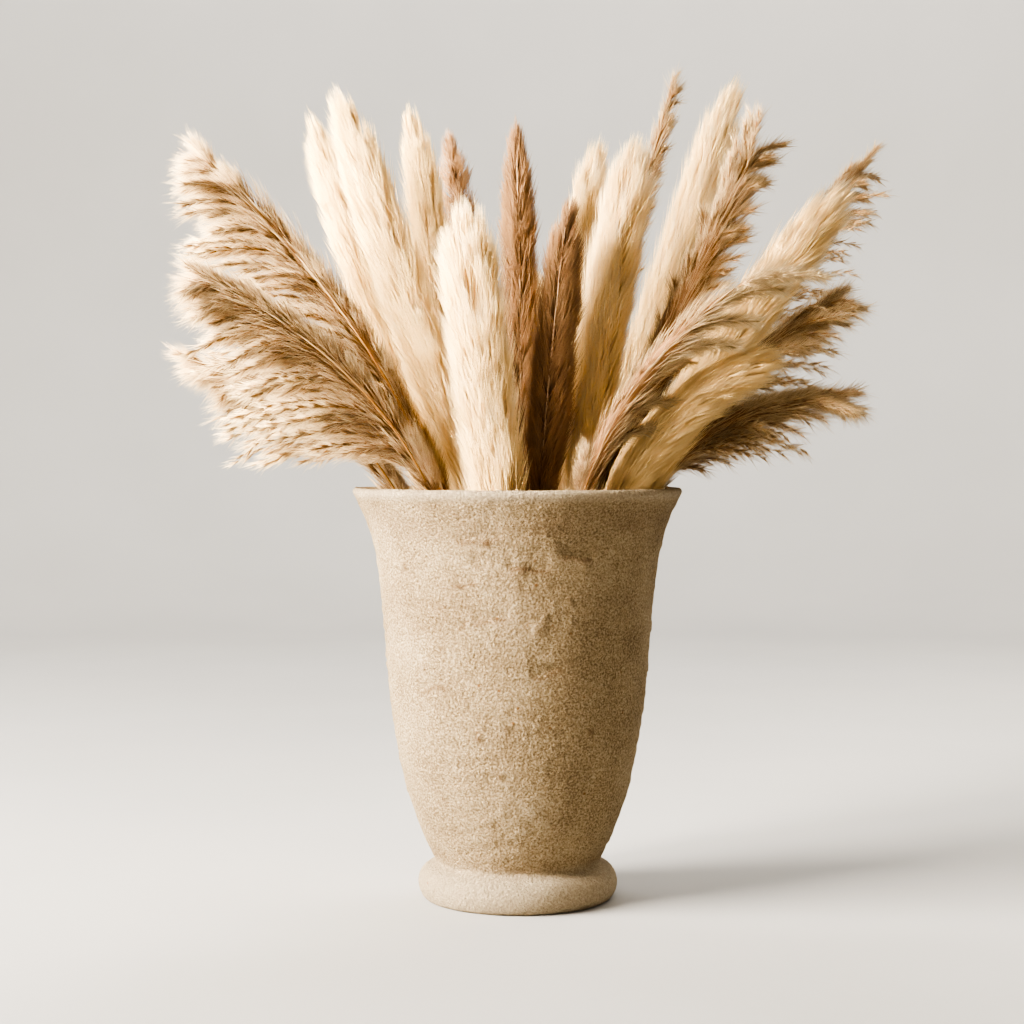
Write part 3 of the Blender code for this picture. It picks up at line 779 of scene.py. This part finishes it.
def reed(name, fibre):
    """A branched plume. Each branch is a quadratic Bezier curve that leaves the centre line
    forwards and bends to the hanging side; at its joints stand spikelets, to the left and the
    right in turn, and a spray of fine hairs that point along the branch."""
    look = {**REED, **REED_CHANGES.get(name, {})}
    rng = generator(name)
    cubic, length, radius = centre_line(name + "_plume")
    count, joints = look["branches"], look["joints"]
    share = np.linspace(-0.10, look["top"], count) + rng.normal(0, 0.008, count)
    start, ahead = read_line(cubic, share)
    hang = unit(np.array(look["side"], dtype=float))
    across = unit(np.cross(ahead, hang))
    out = unit(hang + across * rng.normal(0, look["spread"], count)[:, None])
    share = np.clip(share, 0, 1)
    size = MM * (look["branch"][0] + (look["branch"][1] - look["branch"][0]) * share)
    whole = rng.uniform(0, 1, count) < look["long"]
    size *= np.where(whole, rng.uniform(0.85, 1.1, count), rng.uniform(0.35, 0.8, count))
    size *= smooth(0.55 + 2.2 * share)  # the lowest branches stay short
    if look["edge"] is not None:  # no branch passes this x
        pace = np.abs(CLIMB * ahead[:, 0] * look["up"] + SWING * out[:, 0])
        room = np.abs(look["edge"] * MM - start[:, 0]) / np.maximum(pace, 0.2)
        size = np.minimum(size, np.maximum(room * rng.uniform(0.58, 1.03, count), 7 * MM))
    # short upright branches: some on the other side, and all that start inside the mouth
    back = (rng.uniform(0, 1, count) < look["back"]) | (start[:, 2] < (LIP_HEIGHT + 3) * MM)
    size = np.where(back, MM * rng.uniform(*look["upright"], count), size)[:, None]
    # the bend and the tip of each branch's curve
    forward = np.where(back[:, None], 0.95 * ahead - look["tuck"] * out,
                       CLIMB * ahead * look["up"] + SWING * out)
    middle = start + size * np.where(back[:, None], 0.5 * ahead - 0.14 * out,
                                     0.5 * ahead * look["up"] + 0.18 * out)
    end = start + size * forward
    end[:, 2] -= np.where(back, 0, look["drop"] * size[:, 0] * smooth(0.35 + 2 * share))
    outmost = np.where(back, 0.35, size[:, 0] / size.max() * 0.8 + 0.2 * share)

    def on_branch(t):
        """Points of the branches and their directions at the shares t of the way."""
        t = t[..., None]
        a, b, c = start[:, None], middle[:, None], end[:, None]
        return ((1 - t) ** 2 * a + 2 * t * (1 - t) * b + t ** 2 * c,
                unit((1 - t) * (b - a) + t * (c - b)))

    # the bare twigs
    t = np.broadcast_to(np.linspace(0, 1, 6), (count, 6))
    twig = np.linspace(0.42, 0.16, 5) * MM * np.ones((count, 1))
    parts = [fibres(inside_mouth(on_branch(t)[0]), twig,
                    HUSK_START + rng.uniform(0.03, 0.19, count))]

    t = np.linspace(0.10, 1.0, joints) + rng.normal(0, 0.012, (count, joints))
    joint, along = on_branch(t)
    joint, along = joint.reshape(-1, 3), along.reshape(-1, 3)
    outer = np.repeat(outmost, joints) * (0.15 + 0.85 * t.ravel())
    n = len(joint)
    e1 = unit(np.cross(along, [0.0, 1.0, 0.0]))
    e2 = np.cross(along, e1)
    turn = np.tile(np.arange(joints) % 2 * math.pi, count) + rng.normal(0, 0.5, n)
    sideways = e1 * np.cos(turn)[:, None] + e2 * np.sin(turn)[:, None]
    # spikelets: flat grains that stand off the branch
    grain = look["husk"] * MM * rng.uniform(0.8, 1.25, n)[:, None]
    husk = np.stack([joint + 0.1 * grain * sideways,
                     joint + grain * (0.5 * along + 0.2 * sideways),
                     joint + grain * (0.95 * along + 0.38 * sideways)], axis=1)
    wide = np.array([0.28, 0.5]) * MM * rng.uniform(0.8, 1.2, (n, 1))
    parts.append(fibres(inside_mouth(husk), wide, HUSK_START + rng.uniform(0.01, 0.19, n),
                        HUSK_FLATNESS))

    # sprays of fine hair at the joints
    fuzz = look["fuzz"]
    m = n * fuzz
    turn = np.repeat(turn, fuzz) + rng.uniform(-1.7, 1.7, m)
    sideways = (np.repeat(e1, fuzz, axis=0) * np.cos(turn)[:, None]
                + np.repeat(e2, fuzz, axis=0) * np.sin(turn)[:, None])
    along = np.repeat(along, fuzz, axis=0)
    place = np.repeat(outer, fuzz)
    hair = look["hair"] * MM * (rng.uniform(0.6, 1.25, m) * (1.08 - 0.35 * place))[:, None]
    first = np.repeat(joint, fuzz, axis=0) + along * rng.uniform(-2.2, 2.2, (m, 1)) * MM
    opening = rng.uniform(*look["open"], (m, 1))
    tip = first + hair * unit(along + opening * sideways)
    # darker low on the plume and near the stalk, paler at the branches' ends: partly the hair's
    # own colour, partly painted shade
    tone = look["tone"] + look["rise"] * (np.repeat(np.repeat(share, joints), fuzz) - 0.5)
    tone = tone + look["pale"] * (place - 0.4) + rng.normal(0, look["vary"], m)
    parts.append(fibres(inside_mouth(np.stack([first, tip], axis=1)),
                        fibre * rng.uniform(0.6, 0.95, (m, 1)),
                        np.clip(tone, 0.02, 0.98) * HUSK_START))

    # hair round the centre line itself, where the branches spring
    close = look["close"]
    share = rng.uniform(-0.12, look["top"] - 0.1, close)
    first, ahead = read_line(cubic, share)
    front, right = square_to(ahead)
    turn = rng.uniform(0, TAU, close)
    spoke = front * np.cos(turn)[:, None] + right * np.sin(turn)[:, None]
    room = radius * (0.35 + 0.65 * np.sin(math.pi * np.clip(share, 0.05, 0.98)) ** 0.6)
    first = first + 0.2 * (room * rng.uniform(0, 1, close))[:, None] * spoke
    hair = rng.uniform(14, 26, close)[:, None] * MM
    tip = first + hair * unit(ahead + 0.15 * hang) + (
        0.85 * room * rng.uniform(0.5, 1.1, close))[:, None] * spoke
    bend = first + 0.5 * (tip - first) + 0.12 * room[:, None] * spoke
    # darker than the branch hair: partly painted shade round the stalk
    tone = look["tone"] - 0.14 + look["rise"] * (share - 0.5) + rng.normal(0, 0.08, close)
    parts.append(fibres(inside_mouth(np.stack([first, bend, tip], axis=1)),
                        fibre * np.array([0.95, 0.75]) * np.ones((close, 1)),
                        np.clip(tone, 0.02, 0.98) * HUSK_START))
    spine = np.linspace(-0.02, look["top"], 20)
    core, ahead = read_line(cubic, spine)
    if look["stalk"]:  # the golden stalk shows in front of the hair
        bare = core + look["stalk"] * radius * square_to(ahead)[0]
        parts.append(fibres(bare[None, :14], np.linspace(0.62, 0.35, 13)[None] * MM,
                            np.array([0.97])))
    # the dense heart, in a darker tone: painted shade inside the plume
    parts.append(hose(core, look["core"] * radius * np.sin(math.pi * np.linspace(0.12, 0.97, 20)),
                      (look["tone"] - 0.22) * HUSK_START, 8))
    return parts


def grow(kind, ending, finish, build):
    """Makes every plume of one kind that the frame has, with build(name) as its parts."""
    names = sorted(node[:-len("_plume")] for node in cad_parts
                   if node.startswith(kind) and node.endswith("_plume"))
    if not names:
        raise RuntimeError("the frame has no plume of the kind " + kind)
    for name in names:
        piece(name + ending, build(name), finish, name + "_plume")


class BOUQUET_OT_pampas(Operator):
    """Make the cream pampas plumes"""
    bl_idname = "bouquet.pampas"
    bl_label = "Pampas plumes"

    def execute(self, context):
        """Brush-like plumes of long silky hair."""
        settings = context.scene.bouquet_plumes
        # pampas: cream silk, golden in the depth of the plume, partly its own colour and partly
        # painted shade
        finish = dried_hair("Pampas hair, dried and bleached", tuple(settings.pampas_root),
                            tuple(settings.pampas), tuple(settings.stem), 0.5)
        grow("pampas", "_hair", finish, lambda name: brush(name, "pampas", settings.fibre))
        return {"FINISHED"}


class BOUQUET_OT_foxtails(Operator):
    """Make the brown foxtails"""
    bl_idname = "bouquet.foxtails"
    bl_label = "Foxtails"

    def execute(self, context):
        """Narrow brush-like plumes, with the stalk as a pale line on the front."""
        settings = context.scene.bouquet_plumes
        # foxtail: brown hair with light tips
        finish = dried_hair("Foxtail hair, dried brown", tuple(settings.foxtail_root),
                            tuple(settings.foxtail), tuple(settings.foxtail_stalk), 0.5)
        grow("foxtail", "_hair", finish, lambda name: brush(name, "foxtail", settings.fibre))
        return {"FINISHED"}


class BOUQUET_OT_reeds(Operator):
    """Make the branched reed plumes"""
    bl_idname = "bouquet.reeds"
    bl_label = "Reed plumes"

    def execute(self, context):
        """Branched plumes with spikelets and fine hair."""
        settings = context.scene.bouquet_plumes
        # reed: brown at the stalk, straw-pale at the ends of the branches; the brown near the
        # stalk is partly painted shade
        finish = dried_hair("Reed hair and husks, sun-dried", tuple(settings.reed_root),
                            tuple(settings.reed), tuple(settings.husk), 0.42)
        grow("reed", "_spray", finish, lambda name: reed(name, settings.fibre))
        return {"FINISHED"}


class BOUQUET_OT_stems(Operator):
    """Give the stems their straw skin"""
    bl_idname = "bouquet.stems"
    bl_label = "Stems"

    def execute(self, context):
        """The stems keep their CAD shape and get the culm's finish."""
        finish = dry_culm(context.scene.bouquet_plumes)
        stems = [node for name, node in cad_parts.items() if name.endswith("_stem")]
        if not stems:
            raise RuntimeError("the frame has no stems")
        for node in stems:
            for slot in node.material_slots:
                slot.material = finish
        return {"FINISHED"}


# The stage

# The cove round the object, in metres: its flat floor, the bend and the wall.
COVE_FLAT, COVE_BEND, COVE_HEIGHT, COVE_SIDES = 1.6, 0.7, 3.0, 128

# Lamps: place, width in metres, share of the key light's power, colour, the point they light and
# the angle of their beam in degrees.
MIDDLE = (0.0, 0.0, 0.24)
LAMPS = {
    "key": ((-1.40, -0.33, 0.62), 0.7, 1.0, (1.0, 0.95, 0.88), MIDDLE, 180),
    "fill": ((-0.5, -1.7, 0.8), 1.4, 0.035, (1.0, 0.90, 0.78), MIDDLE, 180),
    "wall": ((0.0, 1.0, 2.3), 1.0, 0.45, (1.0, 1.0, 1.0), (0.0, 2.3, 0.6), 180),
    "rim": ((0.8, 0.95, 1.1), 0.6, 0.06, (1.0, 0.95, 0.88), MIDDLE, 180),
    # a narrow beam, so that most of it passes above the vase
    "plumes": ((-1.15, -0.80, 1.0), 0.5, 0.045, (1.0, 0.93, 0.84), (0.0, 0.0, 0.42), 38),
}
ROOM_GLOW = 0.06  # strength of the pale room's own light
EXPOSURE = 0.5
CAMERA_PLACE, CAMERA_TILT, SENSOR_WIDTH = (-0.003, -1.078, 0.239), 1.71, 36.0


class BOUQUET_OT_stage(Operator):
    """Make the floor, the lights and the camera"""
    bl_idname = "bouquet.stage"
    bl_label = "Stage"

    def execute(self, context):
        """A pale floor that rises into a wall all round, one large soft light and weak ones.
        The floor's section, a flat, a quarter circle and a wall, is turned about the axis."""
        settings = context.scene.bouquet_stage
        bend = np.radians(np.linspace(0, 90, 24))
        radius = np.concatenate([[0.0], COVE_FLAT + COVE_BEND * np.sin(bend),
                                 [COVE_FLAT + COVE_BEND]])
        height = np.concatenate([[0.0], COVE_BEND * (1 - np.cos(bend)), [COVE_HEIGHT]])
        turn = np.arange(COVE_SIDES) * TAU / COVE_SIDES
        ring = np.stack([np.cos(turn), np.sin(turn)], -1)
        points = np.concatenate([ring * radius[1:, None, None],
                                 np.broadcast_to(height[1:, None, None],
                                                 (len(height) - 1, COVE_SIDES, 1))], -1)
        points = np.concatenate([[[0.0, 0.0, 0.0]], points.reshape(-1, 3)])
        a, b = (index.ravel() for index in cells(len(radius) - 1, COVE_SIDES, 1))
        first = np.arange(COVE_SIDES)
        middle = np.column_stack([0 * first, 1 + first, 1 + (first + 1) % COVE_SIDES])
        mesh = bpy.data.meshes.new("stage_sweep")
        mesh.from_pydata(points.tolist(), [], middle.tolist() + np.column_stack(
            [a, a + COVE_SIDES, b + COVE_SIDES, b]).tolist())
        mesh.shade_smooth()
        sweep = bpy.data.objects.new("stage_sweep", mesh)
        context.scene.collection.objects.link(sweep)
        # matt paint: a quiet, pale ground with soft shadows
        material, tree, shader = new_material("Painted board, matt")
        # clouds about 200 mm wide, hardly darker than the paint
        place = add_node(tree, "TexCoord").outputs["Object"]
        cloud = add_node(tree, "TexNoise", {0: place, "Scale": 5.0, "Detail": 6.0})
        base = tuple(settings.floor)
        colour = add_node(tree, "ValToRGB", {0: cloud}, stops=[
            (0.3, mixed(base, BLACK, 0.05)), (0.7, base)])
        feed(tree, shader, {"Base Color": colour, "Roughness": 0.8})
        mesh.materials.append(material)

        for name, (spot, size, share, colour, target, beam) in LAMPS.items():
            light = bpy.data.lights.new(name, "AREA")
            light.shape = "DISK"
            light.size = size
            light.energy = settings.key * share
            light.color = colour
            light.spread = math.radians(beam)
            lamp = bpy.data.objects.new(name, light)
            lamp.location = spot
            way = Vector(target) - Vector(spot)
            lamp.rotation_euler = way.to_track_quat("-Z", "Y").to_euler()
            context.scene.collection.objects.link(lamp)
        world = bpy.data.worlds.new("Pale room")
        context.scene.world = world
        world.use_nodes = True
        feed(world.node_tree, world.node_tree.nodes["Background"],
             {"Color": linear("#f2f0ec"), "Strength": ROOM_GLOW})

        view = context.scene.view_settings
        view.view_transform = "AgX"
        view.look = "AgX - High Contrast"
        view.exposure = EXPOSURE

        camera = bpy.data.objects.new("camera", bpy.data.cameras.new("camera"))
        camera.data.lens = settings.lens
        camera.data.sensor_width = SENSOR_WIDTH
        camera.location = CAMERA_PLACE
        camera.rotation_euler = (math.radians(90 - CAMERA_TILT), 0.0, 0.0)
        context.scene.collection.objects.link(camera)
        context.scene.camera = camera
        return {"FINISHED"}


class BOUQUET_PT_panel(Panel):
    """Shows the bouquet's settings and a button for each piece"""
    bl_idname = "BOUQUET_PT_panel"
    bl_label = "Dried Bouquet"
    bl_space_type = "VIEW_3D"
    bl_region_type = "UI"
    bl_category = "Dried Bouquet"

    def draw(self, context):
        """The settings, and a button for each piece."""
        for group in (context.scene.bouquet_vase, context.scene.bouquet_plumes,
                      context.scene.bouquet_stage):
            for key in group.__annotations__:
                self.layout.prop(group, key)
        for operator in OPERATORS:
            self.layout.operator(operator.bl_idname)


SETTINGS = {"bouquet_vase": VaseSettings, "bouquet_plumes": PlumeSettings,
            "bouquet_stage": StageSettings}
OPERATORS = (BOUQUET_OT_vase, BOUQUET_OT_pampas, BOUQUET_OT_foxtails, BOUQUET_OT_reeds,
             BOUQUET_OT_stems, BOUQUET_OT_stage)


def register():
    """Register the classes and hang the settings on the scene."""
    for cls in (*SETTINGS.values(), *OPERATORS, BOUQUET_PT_panel):
        bpy.utils.register_class(cls)
    for key, cls in SETTINGS.items():
        setattr(bpy.types.Scene, key, PointerProperty(type=cls))


def unregister():
    """Undo register."""
    for key in SETTINGS:
        delattr(bpy.types.Scene, key)
    for cls in (BOUQUET_PT_panel, *reversed(OPERATORS), *reversed(list(SETTINGS.values()))):
        bpy.utils.unregister_class(cls)


def main():
    """Make every piece in order."""
    register()
    bpy.ops.bouquet.vase()
    bpy.ops.bouquet.pampas()
    bpy.ops.bouquet.foxtails()
    bpy.ops.bouquet.reeds()
    bpy.ops.bouquet.stems()
    bpy.ops.bouquet.stage()


if __name__ == "__main__":
    main()
